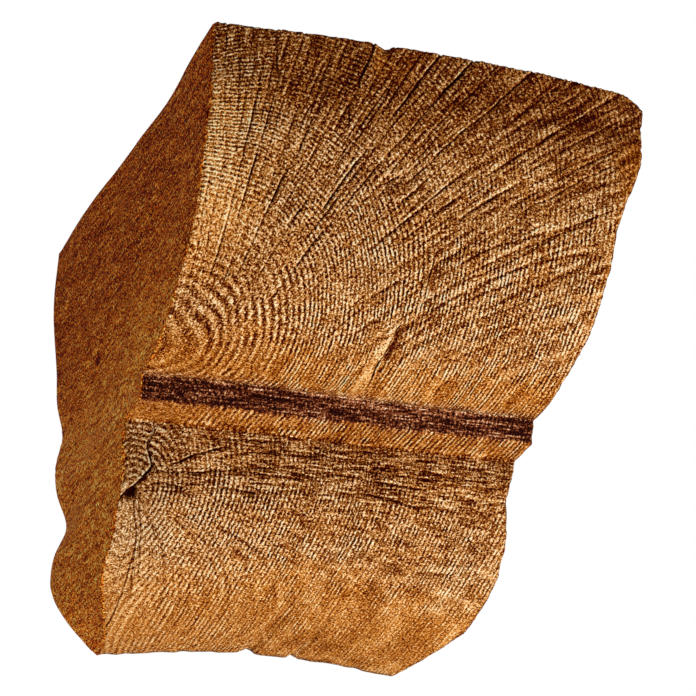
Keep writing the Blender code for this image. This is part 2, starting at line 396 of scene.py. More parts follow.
# Darker stained places: centre x, z, half sizes, how much darker.
STAINS = ((172.0, -20.0, 16.0, 8.0, .07), (60.0, -24.0, 11.0, 10.0, .06), (150.0, -104.0, 14.0, 8.0, .05),
          (66.0, -38.0, 5.0, 4.0, .05), (118.0, -163.0, 12.0, 4.0, .04), (64.0, -168.5, 5.0, 3.0, .08))

# How light the wood is down the front, 0 black to 1 white: darker over the top lip, and near black over the band,
# where it is partly stain and partly painted shade under the ovolo's overhang.
TONE = ((0, .27), (-18, .28), (-26, .32), (-38, .39), (-50, .44), (-72, .455), (-98, .46), (-116, .445),
        (-127, .43), (-128, .125), (-137.5, .135), (-138.2, .41), (-145, .41), (-153, .385), (-158, .39),
        (-170, .43), (-185, .445), (-196, .475), (-219, .465))


def band_edge(x):
    """How far the band's dark surface runs over its lower arris, in height."""
    r = noise(x / 2.4, 0.0, 0.0, 65) + 0.6 * noise(x / 0.9, 0.0, 0.0, 66)
    return np.where(r > 0.0, 0.30 * r, 0.9 * r)


def tone_of(x, z, cloud, blot):
    pts = sorted(TONE)
    zz = z + band_edge(x) * bell(z, -137.9, 1.4) + np.where((z < Z_BAND) & (z > Z_BELLY), 0.0, 5.0 * cloud)
    zz = np.where(z > Z_BAND, np.maximum(zz, Z_BAND + 0.2), zz)
    zz = np.where(z < Z_BELLY, np.minimum(zz, Z_BELLY - 0.2), zz)
    t = np.interp(zz, [p[0] for p in pts], [p[1] for p in pts])
    t = t + 0.20 * bell(x, 2.0, 24.0) * smooth(-12.0, -30.0, z) * smooth(-104.0, -76.0, z)
    t = t + 0.10 * bell(x, 4.0, 30.0) * smooth(-168.0, -178.0, z)
    on = (z < Z_BAND) * (z > Z_LEDGE)
    t = t - 0.04 * bell(x, 12.0, 40.0) * on + 0.04 * smooth(55.0, 85.0, x) * on
    t = t - 0.025 * smooth(60.0, 100.0, x) * bell(z, -175.0, 17.0)
    t = t + 0.06 * bell(x, 15.0, 30.0) * smooth(-24.0, -12.0, z)
    t = t + 0.09 * bell(x, 76.2, 3.4) * bell(z, -7.0, 8.0)
    # a pale splinter between two cracks, and pale wood at the right ends
    middle = np.interp(-z, (173.0, 180.0, 189.5, 199.6), (8.8, 10.8, 14.4, 19.3))
    t = t + 0.15 * bell(x, middle, 1.2) * smooth(-173.0, -177.0, z) * smooth(-203.0, -195.0, z)
    t = t + (0.06 * smooth(187.0, 197.0, x) + 0.30 * bell(x, 199.0, 3.5)) * (z < Z_LEDGE - 0.2) * (z > Z_BELLY)
    t = t + 0.06 * smooth(184.0, 196.0, x) * bell(z, -188.0, 20.0)
    # painted shade: a dark line in the corner on the belly's top, under the ledge
    t = t - 0.17 * bell(z, Z_BELLY - 1.0, 0.8) * smooth(10.0, 24.0, x) * (z < Z_BELLY + 0.6)
    for cx, cz, hx, hz, amount in STAINS:
        t = t - amount * bell(x, cx, hx) * bell(z, cz, hz) * (1.0 + 0.5 * blot)
    return t + 0.035 * cloud + 0.03 * blot


# ------------------------------------------------------------------ building
def build_grid():
    prof_d, prof_z = profile()
    # the front top edge is rounded over: slices drawn in by `inset`
    lip_r = 0.9
    arc = np.linspace(0.0, 1.0, 5)[:-1] * (math.pi / 2)
    levels = [(LIP_D, -lip_r * (1 - math.cos(t)), lip_r * (1 - math.sin(t))) for t in arc]
    first = int(np.searchsorted(-prof_z, lip_r + 0.2))
    for d, z in zip(prof_d[first:], prof_z[first:]):
        levels.append((d, z, 0.0))
    level_d = np.array([l[0] for l in levels])
    level_z = np.array([l[1] for l in levels])
    inset = np.array([l[2] for l in levels])
    k = len(levels)
    front_n = int(WIDTH / GRID)
    side_n, arc_n = 68, 4

    # radius of the two front arrises, worn unevenly down their length
    rad = [np.clip(1.15 + 0.8 * noise(level_z / 5.0 + 40 * s, level_d / 6.0, 0.0, 11 + s)
                   + 0.5 * noise(level_z / 1.9, level_d / 2.3, 0.0, 13 + s), 0.45, 3.0) for s in (0, 1)]
    rad = [np.minimum(r, level_d / 4.0) for r in rad]

    cols = []        # each: (x, d, front weight)
    left, right = inset, WIDTH - inset
    deep = level_d - inset
    t = np.linspace(0.0, 1.0, side_n)
    t = 0.45 * t + 0.55 * (0.5 - 0.5 * np.cos(math.pi * t))
    for j in range(side_n):
        cols.append((left, t[j] * (deep - rad[0]), 0.0))
    for j in range(1, arc_n):
        a = math.pi / 2 * j / arc_n
        cols.append((left + rad[0] * (1 - math.sin(math.pi / 2 - a)), deep - rad[0] * (1 - math.sin(a)), j / arc_n))
    for i in range(front_n + 1):
        f = i / front_n
        cols.append((left + rad[0] + (right - rad[1] - left - rad[0]) * f, deep, 1.0))
    for j in range(arc_n - 1, 0, -1):
        a = math.pi / 2 * j / arc_n
        cols.append((right - rad[1] * (1 - math.sin(math.pi / 2 - a)), deep - rad[1] * (1 - math.sin(a)), j / arc_n))
    for j in range(side_n - 1, -1, -1):
        cols.append((right, t[j] * (deep - rad[1]), 0.0))
    n = len(cols)
    x = np.stack([np.broadcast_to(c[0], (k,)) for c in cols], 1)
    d = np.stack([np.broadcast_to(c[1], (k,)) for c in cols], 1)
    w = np.stack([np.full(k, c[2]) for c in cols], 1)
    z = np.repeat(level_z[:, None], n, 1)
    x, d, z, w = (a.ravel() for a in (x, d, z, w))
    i, j = np.meshgrid(np.arange(k - 1), np.arange(n - 1), indexing="ij")
    a = (i * n + j).ravel()
    quads = np.stack([a, a + n, a + n + 1, a + 1], 1)
    return x, d, z, w, np.repeat(deep, n), quads, k, n


def fill(boundary, inside):
    """Triangles of a flat patch: boundary points in order, then inside ones."""
    pts = [Vector((float(p[0]), float(p[1]))) for p in boundary] + [Vector((float(p[0]), float(p[1]))) for p in inside]
    loop = list(range(len(boundary)))
    out = delaunay_2d_cdt(pts, [], [loop], 1, 1e-7, True)
    new, faces, orig = out[0], out[2], out[3]
    back = [o[0] if o else -1 for o in orig]
    return [tuple(back[v] for v in f) for f in faces]


def build_corbel():
    x, d, z, w, deep, quads, k, n = build_grid()
    px, pd, pz = hewn(x / WIDTH, d, z)
    count = len(px)
    tris = []
    extra = []                                # (x, d, z) before hewing

    def add_patch(boundary_ids, flat, inside_flat, inside_base, flip):
        """flat: 2-D places of the boundary; inside_*: 2-D places and bases."""
        base = count + len(extra)
        for b in inside_base:
            extra.append(b)
        ids = list(boundary_ids) + list(range(base, base + len(inside_base)))
        for f in fill(flat, inside_flat):
            f = tuple(ids[v] for v in f)
            tris.append(f if not flip else f[::-1])

    # ---- bearing face: the first slice plus a row along the wall edge
    row = np.arange(n)
    edge_x = np.linspace(x[0], x[n - 1], 68)[1:-1]
    top_edge = []
    for ex in edge_x[::-1]:
        top_edge.append(count + len(extra))
        extra.append((ex, 0.0, 0.0))
    bx = np.concatenate([x[row], edge_x[::-1]])
    bd = np.concatenate([d[row], np.zeros(len(edge_x))])
    gx, gd = np.meshgrid(np.arange(2.0, WIDTH - 1.5, 1.6), np.arange(3.0, LIP_D - 1.8, 4.2), indexing="ij")
    gx, gd = gx.ravel(), gd.ravel()
    gd = gd + 1.2 * noise(gx * 3.7, gd * 1.9, 0.0, 3)
    ok = gd < LIP_D - 1.8
    gx, gd = gx[ok], gd[ok]
    add_patch(list(row) + top_edge, np.stack([bx, -bd], 1), np.stack([gx, -gd], 1),
              [(a, b, 0.0) for a, b in zip(gx, gd)], False)

    # ---- toe: the last slice plus a row along the wall edge
    row2 = (k - 1) * n + np.arange(n)
    toe_z = z[row2[0]]
    toe_edge = []
    for ex in edge_x[::-1]:
        toe_edge.append(count + len(extra))
        extra.append((ex, 0.0, toe_z))
    bx2 = np.concatenate([x[row2], edge_x[::-1]])
    bd2 = np.concatenate([d[row2], np.zeros(len(edge_x))])
    add_patch(list(row2) + toe_edge, np.stack([bx2, -bd2], 1), [], [], True)

    # ---- wall face: left edge down, toe edge, right edge up, top edge back
    all_x = np.concatenate([x, [e[0] for e in extra]])
    all_z = np.concatenate([z, [e[2] for e in extra]])
    left_ids = [i * n for i in range(k)]
    right_ids = [i * n + n - 1 for i in range(k)]
    loop = left_ids + toe_edge[::-1] + right_ids[::-1] + top_edge
    fx = all_x[loop]
    fz = all_z[loop]
    gx, gz = np.meshgrid(np.arange(3.5, WIDTH - 3.0, 2.6), np.arange(-3.5, toe_z + 3.0, -2.6), indexing="ij")
    gx, gz = gx.ravel(), gz.ravel()
    add_patch(loop, np.stack([fx, fz], 1), np.stack([gx, gz], 1),
              [(a, 0.0, b) for a, b in zip(gx, gz)], True)

    ex = np.array(extra)
    x, d, z = np.concatenate([x, ex[:, 0]]), np.concatenate([d, ex[:, 1]]), np.concatenate([z, ex[:, 2]])
    w = np.concatenate([w, np.zeros(len(ex))])
    deep = np.concatenate([deep, np.full(len(ex), LIP_D)])
    px, pd, pz = hewn(x / WIDTH, d, z)

    mesh = bpy.data.meshes.new("corbel_wood")
    faces = [tuple(q) for q in quads.tolist()] + tris
    mesh.from_pydata(np.stack([(px - WIDTH / 2) * MM, -pd * MM, (TOP + pz) * MM], 1).tolist(), [], faces)
    mesh.update()

    # ---------------------------------------------------------- surface relief
    total = len(x)
    normal = np.empty(total * 3, np.float32)
    mesh.vertex_normals.foreach_get("vector", normal)
    normal = normal.reshape(-1, 3).astype(float)
    front = w
    upper = (z > Z_BAND).astype(float)
    wall = (d < 0.6) & (x > 1.5) & (x < WIDTH - 1.5) & (z < -1.5) & (z > toe_z + 1.0)
    ph = ring_phase(px, pd, pz, wall)
    a, r0 = ray_angle(px, pd, pz)
    arc_mm = np.radians(a) * 130.0

    wobble = 0.14 * fbm(px / 2.6, pd / 2.6, pz / 2.6, 41)
    s = (ph + wobble) % 1.0
    ridge = np.where(s < 0.62, s / 0.62, (1.0 - s) / 0.38)
    ridge = ridge * ridge * (3 - 2 * ridge)
    # the rays cut the rings into short dashes
    dash = noise(ph * 0.9, arc_mm / 2.4, 0.0, 42)
    rays = noise(arc_mm / 1.5 + 0.5 * noise(r0 / 9.0, a / 7.0, 0, 8), r0 / 20.0, 0.0, 43)
    patch = 0.5 + 0.5 * fbm(px / 17.0, pd / 17.0, pz / 17.0, 45, 2)
    strength = (0.6 + 0.6 * patch) * smooth(0.0, 5.0, r0)
    coarse = 1.0 - 0.72 * bell(px, 18.0, 40.0) * smooth(-62.0, -82.0, z) * upper
    coarse = coarse * (1.0 - 0.5 * smooth(22.0, 8.0, r0) * (1.0 - upper))
    coarse = coarse * (1.0 - 0.45 * bell(px, 8.0, 20.0) * smooth(-176.0, -186.0, z))
    grain = 0.30 * strength * coarse * (ridge - 0.5) * (1.0 + 0.6 * dash) + 0.17 * rays
    grain += 0.12 * noise(px / 1.0, pd / 1.0, pz / 1.0, 46)
    swell = 0.42 * fbm(px / 23.0, pd / 23.0, pz / 23.0, 47, 2) + 0.16 * noise(px / 6.0, pd / 6.0, pz / 6.0, 48)
    off, power, cut, lift = families(px, pd, pz, upper)
    on_ledge = smooth(Z_BELLY - 0.8, Z_BELLY + 0.2, z) * smooth(Z_LEDGE + 0.8, Z_LEDGE - 0.2, z)
    on_band = smooth(Z_LEDGE - 0.6, Z_LEDGE + 0.8, z + band_edge(px)) * smooth(Z_BAND + 0.6, Z_BAND - 0.8, z)
    power = power * (1.0 - 0.8 * on_ledge) * (1.0 - 0.6 * on_band)
    cut = cut * (1.0 - 0.8 * on_ledge) * (1.0 - 0.6 * on_band)
    pits = scars(px, pz)
    h_front = grain * (1.0 - 0.45 * on_ledge) + swell + 0.22 * lift - 1.5 * cut + pits
    # saw and knife marks run along the band
    h_front += on_band * 0.22 * noise(px / 30.0, pd / 1.6, pz / 1.15, 49)

    # long grain on the sides, the top and the underside of the toe
    lean = pz - HEART_LEAN * 0.15 * pd
    streak = noise(px / 1.4, pd / 26.0, lean / 1.35, 51) + 0.6 * noise(px / 0.8, pd / 9.0, lean / 0.8, 52)
    groove = np.clip(noise(px / 3.4, pd / 60.0, lean / 3.4, 53) - 0.45, 0, None) * 2.4
    h_side = 0.16 * streak + 0.5 * fbm(px / 24.0, pd / 30.0, lean / 16.0, 54, 2) - 0.55 * groove
    h_side += 0.10 * noise(px / 1.1, pd / 1.7, pz / 1.1, 55)
    on_wall = smooth(1.2, 0.0, pd) * (1.0 - front)
    on_top = smooth(-1.2, 0.0, z) * (1.0 - front)
    h_side = h_side * (1.0 - 0.8 * on_top) * (1.0 - on_wall) - 0.12 * on_wall * (1 + noise(px / 2.0, 0, pz / 14.0, 56)) - 0.35 * on_top

    h = front * h_front + (1.0 - front) * h_side
    # nicks along the arrises
    edge = 4.0 * front * (1.0 - front)
    h = h - edge * (0.35 + 0.55 * np.clip(noise(px / 4.0, pd / 4.0, pz / 4.0, 57), 0, 1))

    q = np.stack([px - WIDTH / 2, -pd, TOP + pz], 1) + normal * h[:, None]
    # the left arris stands out a little in two places and is worn in one
    beside = np.exp(-(x / 14.0) ** 2 - ((deep - d) / 30.0) ** 2)
    q[:, 0] += beside * (-1.5 * bell(z, -108.0, 16.0) - 2.0 * bell(z, -150.0, 8.0) + 2.4 * bell(z, -189.0, 7.0))
    # corner chip at the top right, splits and notches in the edges
    chip = smooth(199.0, 211.0, px) * smooth(-7.0, 0.0, z) * smooth(120.0, 240.0, pd)
    q[:, 2] -= 3.6 * chip
    q[:, 0] -= 1.2 * chip
    dip = (0.9 * bell(px, 78.0, 3.6) + 0.35 * bell(px, 27.5, 1.2)) * smooth(-6.0, 0.0, z) * smooth(225.0, 262.0, pd)
    q[:, 2] -= dip
    q[:, 1] += 1.4 * dip
    toe = smooth(-209.0, -216.0, z)
    q[:, 2] += toe * (2.8 * bell(px, 105.0, 3.2) + 2.0 * bell(px, 129.0, 2.0) + 0.5 * noise(px / 5.0, 0, 0, 58))
    q[:, 1] = np.minimum(q[:, 1], 0.0)
    mesh.vertices.foreach_set("co", (q * MM).astype(np.float32).ravel())

    # ------------------------------------------------ fields the finish reads
    under = np.clip(-normal[:, 2], 0.0, 1.0)
    cloud = fbm(px / 30.0, pd / 30.0, pz / 30.0, 61, 3)
    blot = fbm(px / 8.0, pd / 8.0, pz / 8.0, 62, 3)
    tone = tone_of(px, z, cloud, blot)
    band = on_band
    warm = np.clip(smooth(0.84, 0.98, under) * 0.9 + on_ledge, 0.0, 1.0)
    warm = np.maximum(warm, 0.75 * smooth(-108.0, -126.0, z) * upper)
    warm = np.maximum(warm, 0.65 * bell(px, 2.0, 22.0) * smooth(-16.0, -40.0, z) * smooth(-112.0, -84.0, z))
    warm = np.maximum(warm, 0.9 * bell(px, 76.2, 3.4) * bell(z, -7.0, 8.0))
    warm = np.maximum(warm, 0.85 * smooth(192.0, 206.0, px + 3.0 * blot) * upper * smooth(-8.0, -30.0, z))
    # painted light from below: the sides are painted lighter towards the bottom
    t_side = 0.295 + 0.13 * smooth(-60.0, -140.0, z + 14.0 * cloud) + 0.06 * bell(z, -105.0, 30.0) * bell(pd, 170.0, 45.0)
    t_side = t_side - 0.035 - 0.022 * smooth(-70.0, -30.0, z) + 0.024 * bell(z, -120.0, 28.0) + 0.03 * cloud + 0.05 * np.minimum(blot, 0.1)
    t_side = t_side - 0.05 * bell(pd, 0.0, 22.0) * bell(z, -58.0, 38.0) * (x < 30.0)
    tone = tone * front + t_side * (1.0 - front)
    tone = np.where(wall, 0.47 + 0.05 * cloud + 0.05 * blot, tone)
    hidden = smooth(1.2, 6.0, x)
    # where the rings read clearly, and where the wood parts in thin layers
    ringy = 0.40 + 0.50 * coarse * np.maximum(smooth(-45.0, -95.0, z), 0.9 * bell(px, 4.0, 20.0) * smooth(-8.0, -22.0, z))
    ringy = np.where(z > Z_BAND, ringy, 0.95 - 0.30 * smooth(60.0, 140.0, px) - 0.25 * smooth(-196.0, -212.0, z))
    ringy = ringy - 0.50 * bell(px, 6.0, 22.0) * smooth(-172.0, -182.0, z)
    ringy = np.where((z < Z_BAND) & (z > Z_LEDGE), 0.30, ringy)
    ringy = ringy * (1.0 - on_ledge) + on_ledge * smooth(14.0, 44.0, px) * 1.05
    ringy = ringy * (1.0 - 0.7 * np.clip(np.abs(pits), 0.0, 1.0))
    ringy = ringy * (1.0 - 0.35 * bell(px, 4.0, 8.0) * smooth(-173.0, -169.0, z) * (z < Z_BELLY))
    ringy = ringy * (1.0 - 0.40 * smooth(-166.0, -154.0, z) * smooth(14.0, 30.0, px) * (z < Z_BELLY))
    ringy = ringy * (1.0 - 0.45 * bell(px, 22.0, 26.0) * bell(z, -88.0, 17.0) * upper)
    ringy = ringy + 0.12 * bell(px, 36.0, 26.0) * smooth(-100.0, -112.0, z) * upper
    ringy = np.where(wall, 0.62 + 0.2 * blot, ringy)
    ringy = ringy * np.where(z > -166.0, 1.0, smooth(4.0, 12.0, r0)) * (0.8 + 0.45 * blot)
    fine = upper * smooth(60.0, 112.0, r0) * smooth(8.0, 22.0, a) * (1.0 - smooth(74.0, 92.0, a))
    fine = fine * (0.75 + 0.6 * fbm(px / 26.0, pd / 26.0, pz / 26.0, 63, 2))
    layer = smooth(-172.0, -162.0, z) * (z < Z_BELLY + 0.5) * smooth(8.0, 22.0, px) + on_band
    fields = {
        "ring": ph, "arc": arc_mm, "reach": r0, "end": np.where(wall, 1.0, front), "tone": tone,
        "band": band * ~wall, "warm": np.where(wall, 0.15, warm), "hidden": hidden,
        # the sunken scars are painted darker, painted shade in their hollows, and the raised scars painted lighter, a
        # painted highlight
        "sunk_painted_shade": np.clip(-pits - 0.8, 0.0, 3.0) * front, "lump": np.clip(pits, 0.0, 1.4) * front,
        "ringy": ringy, "layer": layer * ~wall, "fine": np.where(wall, 0.6, fine * front),
    }
    for i in range(4):
        fields["off_%d" % i] = off[i]
        fields["cut_%d" % i] = power[i] * front
    for name, values in fields.items():
        att = mesh.attributes.new(name, "FLOAT", "POINT")
        att.data.foreach_set("value", values.astype(np.float32))

    obj = bpy.data.objects.new("corbel_wood", mesh)
    bpy.context.scene.collection.objects.link(obj)
    tri_count = 2 * len(quads) + len(tris)
    mod = obj.modifiers.new("thin", "DECIMATE")
    mod.decimate_type = "COLLAPSE"
    mod.ratio = TARGET_TRIS / tri_count
    mod.use_collapse_triangulate = True
    deps = bpy.context.evaluated_depsgraph_get()
    thin = bpy.data.meshes.new_from_object(obj.evaluated_get(deps), preserve_all_data_layers=True, depsgraph=deps)
    obj.modifiers.remove(mod)
    old = obj.data
    obj.data = thin
    bpy.data.meshes.remove(old)
    thin.name = "corbel_wood"
    thin.shade_smooth()
    face = np.zeros(len(thin.vertices), np.float32)
    thin.attributes["end"].data.foreach_get("value", face)
    corner = np.zeros(len(thin.loops), np.int32)
    thin.loops.foreach_get("vertex_index", corner)
    print("corbel_wood:", len(thin.vertices), "vertices", len(thin.polygons), "triangles from", tri_count,
          "of which front", int((face[corner].reshape(-1, 3).mean(1) > 0.5).sum()))
    return obj


# ------------------------------------------------------------------ material
class Nodes:
    def __init__(self, name):
        self.mat = bpy.data.materials.new(name)
        self.mat.use_nodes = True
        self.tree = self.mat.node_tree
        self.shader = self.tree.nodes["Principled BSDF"]

    def put(self, socket, value):
        if isinstance(value, bpy.types.NodeSocket):
            self.tree.links.new(value, socket)
        elif value is not None:
            socket.default_value = value

    def attr(self, name):
        node = self.tree.nodes.new("ShaderNodeAttribute")
        node.attribute_type = "GEOMETRY"
        node.attribute_name = name
        return node.outputs["Fac"]

    def math(self, op, a, b=None, c=None, clamp=False):
        node = self.tree.nodes.new("ShaderNodeMath")
        node.operation = op
        node.use_clamp = clamp
        for i, v in enumerate((a, b, c)):
            if v is not None:
                self.put(node.inputs[i], v)
        return node.outputs[0]

    def scale(self, vector, by):
        node = self.tree.nodes.new("ShaderNodeVectorMath")
        node.operation = "MULTIPLY"
        self.put(node.inputs[0], vector)
        node.inputs[1].default_value = by
        return node.outputs[0]

    def combine(self, x, y, z):
        node = self.tree.nodes.new("ShaderNodeCombineXYZ")
        for i, v in enumerate((x, y, z)):
            self.put(node.inputs[i], v)
        return node.outputs[0]

    def noise(self, vector, scale, detail=2.0, rough=0.5, distort=0.0):
        node = self.tree.nodes.new("ShaderNodeTexNoise")
        self.put(node.inputs["Vector"], vector)
        node.inputs["Scale"].default_value = scale
        node.inputs["Detail"].default_value = detail
        node.inputs["Roughness"].default_value = rough
        node.inputs["Distortion"].default_value = distort
        return node.outputs["Fac"]

    def fit(self, value, a, b, lo=0.0, hi=1.0):
        node = self.tree.nodes.new("ShaderNodeMapRange")
        node.clamp = True
        self.put(node.inputs["Value"], value)
        for key, v in (("From Min", a), ("From Max", b), ("To Min", lo), ("To Max", hi)):
            node.inputs[key].default_value = v
        return node.outputs["Result"]

    def ramp(self, fac, stops):
        node = self.tree.nodes.new("ShaderNodeValToRGB")
        ramp = node.color_ramp
        while len(ramp.elements) < len(stops):
            ramp.elements.new(0.5)
        for el, (pos, col) in zip(ramp.elements, stops):
            el.position = pos
            el.color = (*col, 1.0)
        self.put(node.inputs["Fac"], fac)
        return node.outputs["Color"]

    def mix(self, fac, a, b, blend="MIX"):
        node = self.tree.nodes.new("ShaderNodeMix")
        node.data_type = "RGBA"
        node.blend_type = blend
        self.put(node.inputs["Factor"], fac)
        for key, v in (("A", a), ("B", b)):
            sockets = [s for s in node.inputs if s.name == key and s.type == "RGBA"]
            self.put(sockets[0], v if isinstance(v, bpy.types.NodeSocket) else (*v, 1.0))
        return [s for s in node.outputs if s.type == "RGBA"][0]


def linear(rgb, light=1.0):
    """Colour from 0..255 screen values to the shader's scale."""
    out = []
    for v in rgb:
        v = v / 255.0
        v = v / 12.92 if v <= 0.04045 else ((v + 0.055) / 1.055) ** 2.4
        out.append(min(v / light, 0.96))
    return tuple(out)


# painted light: each face's colours are divided by how brightly it is lit, so the left side, in shade, is painted
# lighter than the wood on the front and the other sides
LIT, SHADE, HIDDEN = 1.08, 0.60, 0.84    # how brightly the studio lights the front, the left side and the rest
ROUGH_WOOD = ((0.00, (45, 0, 0)), (0.12, (80, 4, 0)), (0.24, (110, 42, 0)), (0.36, (138, 76, 14)),
              (0.48, (167, 108, 44)), (0.62, (202, 144, 82)), (0.80, (248, 192, 134)), (1.00, (255, 238, 195)))
WARM_WOOD = ((0.00, (50, 0, 0)), (0.12, (84, 8, 0)), (0.24, (120, 44, 0)), (0.36, (152, 76, 2)),
             (0.48, (184, 107, 24)), (0.62, (218, 143, 60)), (0.80, (254, 190, 115)), (1.00, (255, 235, 180)))
BAND_WOOD = ((0.00, (30, 0, 0)), (0.12, (68, 14, 0)), (0.24, (104, 42, 12)), (0.36, (138, 73, 36)),
             (0.48, (168, 103, 62)), (0.62, (202, 142, 100)), (0.80, (244, 192, 150)), (1.00, (255, 235, 208)))
LONG_WOOD = ((0.00, (52, 0, 0)), (0.10, (84, 2, 0)), (0.22, (114, 32, 0)), (0.32, (141, 53, 0)),
             (0.42, (167, 73, 0)), (0.54, (198, 99, 8)), (0.75, (242, 148, 52)), (1.00, (255, 194, 108)))
PLAIN_WOOD = ((0.00, (46, 6, 0)), (0.10, (76, 22, 2)), (0.22, (106, 44, 10)), (0.32, (130, 64, 20)),
              (0.42, (152, 84, 34)), (0.54, (180, 112, 54)), (0.75, (224, 164, 100)), (1.00, (250, 208, 150)))


def wood_material():
    n = Nodes("hewn_timber")
    place = n.tree.nodes.new("ShaderNodeTexCoord").outputs["Object"]
    ring, arc, reach = n.attr("ring"), n.attr("arc"), n.attr("reach")
    end, tone, band, warm, sunk_painted_shade, lump, ringy, layer, fine, hidden = (
        n.attr(k) for k in ("end", "tone", "band", "warm", "sunk_painted_shade", "lump", "ringy", "layer", "fine", "hidden"))
    end = n.fit(end, 0.35, 0.85)

    def centred(value, gain):
        return n.math("MULTIPLY", n.math("SUBTRACT", value, 0.5), gain)

    def total(*values):
        out = values[0]
        for v in values[1:]:
            out = n.math("ADD", out, v)
        return out

    # ---- end grain: ring lines broken into dashes, rays across them, open pores
    shift = n.noise(place, 620.0, 2.0, 0.6)
    wave = n.math("SINE", n.math("MULTIPLY", total(ring, centred(shift, 0.7)), 2.0 * math.pi))
    rings = n.fit(wave, -1.0, 1.0)
    dash = n.noise(n.combine(n.math("MULTIPLY", ring, 1.1), n.math("MULTIPLY", arc, 0.42), 0.0), 1.0, 1.0, 0.5)
    rays = n.noise(n.combine(n.math("MULTIPLY", arc, 0.62), n.math("MULTIPLY", reach, 0.055), 3.0), 1.0, 2.0, 0.65)
    show = n.math("MULTIPLY", n.fit(n.noise(place, 70.0, 2.0, 0.5), 0.36, 0.62, 0.55, 1.2), ringy)
    speck = n.noise(place, 950.0, 1.0, 0.6)
    grit = n.noise(place, 1500.0, 0.0, 0.5)
    lines = n.math("MULTIPLY", n.math("MULTIPLY", centred(rings, 1.08), show), n.fit(dash, 0.36, 0.62, 0.15, 1.40))
    sheets = n.noise(n.scale(place, (95.0, 95.0, 1150.0)), 1.0, 2.0, 0.65)
    streaks = n.noise(n.scale(place, (38.0, 38.0, 720.0)), 1.0, 2.0, 0.7)
    end_h = total(lines, centred(rays, 0.95), centred(speck, 1.65), centred(grit, 1.1),
                  n.math("MULTIPLY", centred(sheets, 1.9), layer), n.math("MULTIPLY", centred(streaks, 1.5), band))

    # ---- checks: painted shade as a dark line in each check, and a painted highlight along its upper left edge
    check_painted_shade, check_painted_highlight = None, None
    for i in range(4):
        o, p = n.attr("off_%d" % i), n.attr("cut_%d" % i)
        half = 0.36 if i < 3 else 0.46
        d2 = n.math("POWER", n.math("ABSOLUTE", n.math("DIVIDE", o, half)), 2.0)
        line = n.math("MULTIPLY", p, n.math("EXPONENT", n.math("MULTIPLY", d2, -1.0)))
        e2 = n.math("POWER", n.math("ABSOLUTE", n.math("DIVIDE", n.math("SUBTRACT", o, 1.0), 0.45)), 2.0)
        edge = n.math("MULTIPLY", p, n.math("EXPONENT", n.math("MULTIPLY", e2, -1.0)))
        check_painted_shade = line if check_painted_shade is None else n.math("MAXIMUM", check_painted_shade, line)
        check_painted_highlight = edge if check_painted_highlight is None else n.math("MAXIMUM", check_painted_highlight, edge)

    # ---- faint rays between the checks, each a line of painted shade beside a line of painted highlight
    def faint(shift):
        at = n.combine(n.math("MULTIPLY", n.math("ADD", arc, shift), 0.26), n.math("MULTIPLY", reach, 0.018), 11.0)
        v = n.math("DIVIDE", n.math("SUBTRACT", n.noise(at, 1.0, 0.0, 0.5), 0.5), 0.048)
        return n.math("MULTIPLY", n.math("EXPONENT", n.math("MULTIPLY", n.math("POWER", n.math("ABSOLUTE", v), 2.0), -1.0)), fine)
    faint_painted_shade, faint_painted_highlight = faint(0.0), faint(-0.95)

    # ---- long grain: fine threads along the depth
    thread = n.noise(n.scale(place, (950.0, 80.0, 950.0)), 1.0, 2.0, 0.6)
    thread2 = n.noise(n.scale(place, (300.0, 22.0, 300.0)), 1.0, 3.0, 0.6)
    fleck = n.noise(n.scale(place, (420.0, 210.0, 420.0)), 1.0, 2.0, 0.7)
    long_h = total(centred(thread, 1.05), centred(thread2, 0.45), centred(speck, 1.9), centred(grit, 1.2),
                   n.fit(fleck, 0.22, 0.38, -0.10, 0.0))

    gain = total(n.fit(tone, 0.16, 0.40, 0.80, 1.0), n.math("MULTIPLY", warm, -0.22))
    end_t = total(tone, n.math("MULTIPLY", end_h, gain), n.math("MULTIPLY", check_painted_highlight, 0.34),
                  n.math("MULTIPLY", check_painted_shade, -0.74), n.math("MULTIPLY", sunk_painted_shade, -0.36), n.math("MULTIPLY", lump, 0.21),
                  n.math("MULTIPLY", faint_painted_shade, -0.28), n.math("MULTIPLY", faint_painted_highlight, 0.18))
    # a small dark bruise on the left side
    at = n.tree.nodes.new("ShaderNodeSeparateXYZ")
    n.put(at.inputs[0], place)
    by = n.math("DIVIDE", n.math("ADD", at.outputs[1], BLOTCH[0] * MM), 0.0040)
    bz = n.math("DIVIDE", n.math("SUBTRACT", at.outputs[2], (TOP + BLOTCH[1]) * MM), 0.0028)
    away = total(n.math("MULTIPLY", by, by), n.math("MULTIPLY", bz, bz), centred(n.noise(place, 330.0, 2.0, 0.6), 3.0))
    bruise = n.math("MULTIPLY", n.fit(away, 0.2, 1.6, 0.42, 0.0), n.math("LESS_THAN", at.outputs[0], -0.06))
    long_t = n.math("SUBTRACT", total(tone, long_h), bruise)
    rough_c = n.ramp(end_t, [(p, linear(c, LIT)) for p, c in ROUGH_WOOD])
    warm_c = n.ramp(end_t, [(p, linear(c, LIT)) for p, c in WARM_WOOD])
    # painted light: the shaded left side gets a lighter, redder copy of the long grain colour than the other sides
    long_c = n.ramp(long_t, [(p, linear(c, SHADE)) for p, c in LONG_WOOD])
    long_c = n.mix(hidden, long_c, n.ramp(long_t, [(p, linear(c, HIDDEN)) for p, c in PLAIN_WOOD]))
    golden = n.math("ADD", warm, n.fit(n.noise(place, 48.0, 2.0, 0.55), 0.42, 0.66, 0.0, 0.38), clamp=True)
    base = n.mix(golden, rough_c, warm_c)
    base = n.mix(band, base, n.ramp(end_t, [(p, linear(c, LIT)) for p, c in BAND_WOOD]))
    base = n.mix(end, long_c, base)
    n.put(n.shader.inputs["Base Color"], base)

